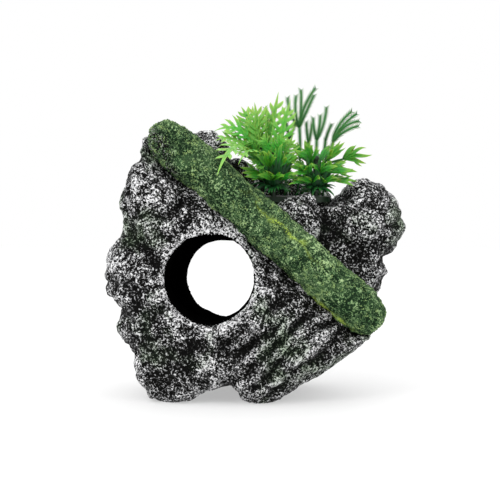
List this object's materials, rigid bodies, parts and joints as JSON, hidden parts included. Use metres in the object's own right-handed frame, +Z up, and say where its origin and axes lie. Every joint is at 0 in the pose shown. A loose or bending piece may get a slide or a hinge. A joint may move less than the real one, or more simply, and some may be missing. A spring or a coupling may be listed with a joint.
{
  "type": "aquarium cave ornament",
  "caption": "Rugged resin rock cave with a round swim-through hole, a mossy branch laid across its face and a plug-in bunch of plastic plants on top.",
  "frame": {"origin": "middle of the bounding box at the surface that the ornament stands on", "axes": "+X right as seen facing the cave mouth, +Y from the mouth to the back, +Z up"},
  "size_m": [0.1258, 0.0728, 0.133],
  "materials": {
    "painted_resin_rock": "black polyresin, dry-brushed pale grey on the high spots",
    "moss_flocked_resin": "dark green with fine yellow-green speckle",
    "plant_base_plastic": "moulded dark green",
    "bright_leaf_plastic": "soft bright green with yellowish tips",
    "forked_leaf_plastic": "soft mid green with yellow-green tips",
    "needle_plastic": "soft dark bluish green",
    "grass_plastic": "soft dark green"
  },
  "bodies": {
    "rock": {"rear_rock": "painted_resin_rock", "front_rock": "painted_resin_rock", "mossy_branch": "moss_flocked_resin"},
    "plants": {"plant_base": "plant_base_plastic", "serrated_whorl_upper": "bright_leaf_plastic", "serrated_whorl_middle": "bright_leaf_plastic", "serrated_whorl_lower": "bright_leaf_plastic", "serrated_whorl_front": "bright_leaf_plastic", "forked_whorl_left_upper": "forked_leaf_plastic", "forked_whorl_left_lower": "forked_leaf_plastic", "forked_whorl_right_upper": "forked_leaf_plastic", "forked_whorl_right_middle": "forked_leaf_plastic", "forked_whorl_right_lower": "forked_leaf_plastic", "needle_frond_left": "needle_plastic", "needle_frond_back": "needle_plastic", "needle_frond_tall": "needle_plastic", "needle_frond_middle": "needle_plastic", "needle_frond_fanned": "needle_plastic", "needle_frond_short": "needle_plastic", "needle_frond_right": "needle_plastic", "grass_tuft_right": "grass_plastic", "grass_tuft_left": "grass_plastic"}
  },
  "joints": [
    {"name": "plant_lift", "type": "slide", "parent": "rock", "child": "plants", "axis": [0, 0, 1], "range_m": [0, 0.03]}
  ]
}
